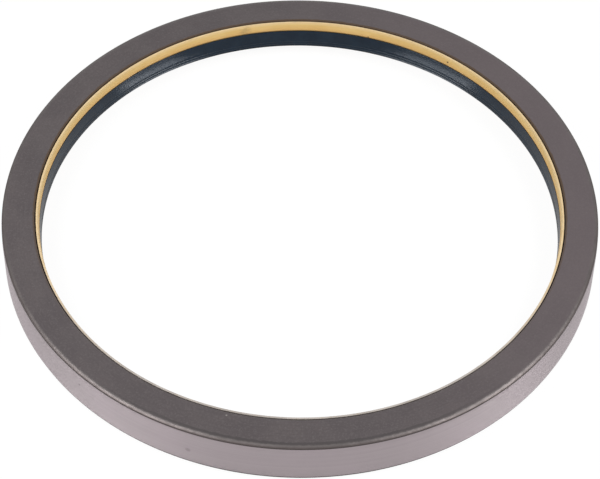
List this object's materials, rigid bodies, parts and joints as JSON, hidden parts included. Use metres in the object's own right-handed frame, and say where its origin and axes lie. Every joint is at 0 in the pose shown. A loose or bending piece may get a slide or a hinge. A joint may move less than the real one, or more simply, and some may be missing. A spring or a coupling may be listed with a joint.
{
  "type": "cassette seal",
  "caption": "Flat-faced cassette seal ring: a steel case with a sprung rubber lip inside, and a rubber-lined wear sleeve that turns in it.",
  "frame": {"origin": "on the seal's axis, level with the lower rim of the case", "axes": "+Z along the seal's axis, from the open end of the case to its flat face"},
  "size_m": [0.205, 0.205, 0.0165],
  "materials": {
    "case_steel": "phosphated dark grey on the flat face, ground bright on the outside",
    "carrier_steel": "plain drawn steel",
    "lip_rubber": "moulded black rubber",
    "spring_steel": "bright spring wire",
    "sleeve_steel": "tan bonding lacquer on the neck, ground steel on the running surface",
    "lining_rubber": "moulded navy-black rubber"
  },
  "bodies": {
    "case": {"outer_case": "case_steel", "lip_carrier": "carrier_steel", "seal_lip": "lip_rubber", "garter_spring": "spring_steel"},
    "sleeve": {"wear_sleeve": "sleeve_steel", "sleeve_lining": "lining_rubber"}
  },
  "joints": [
    {"name": "sleeve_spin", "type": "hinge", "parent": "case", "child": "sleeve", "pos_m": [0, 0, 0.008], "axis": [0, 0, 1], "continuous": true}
  ]
}
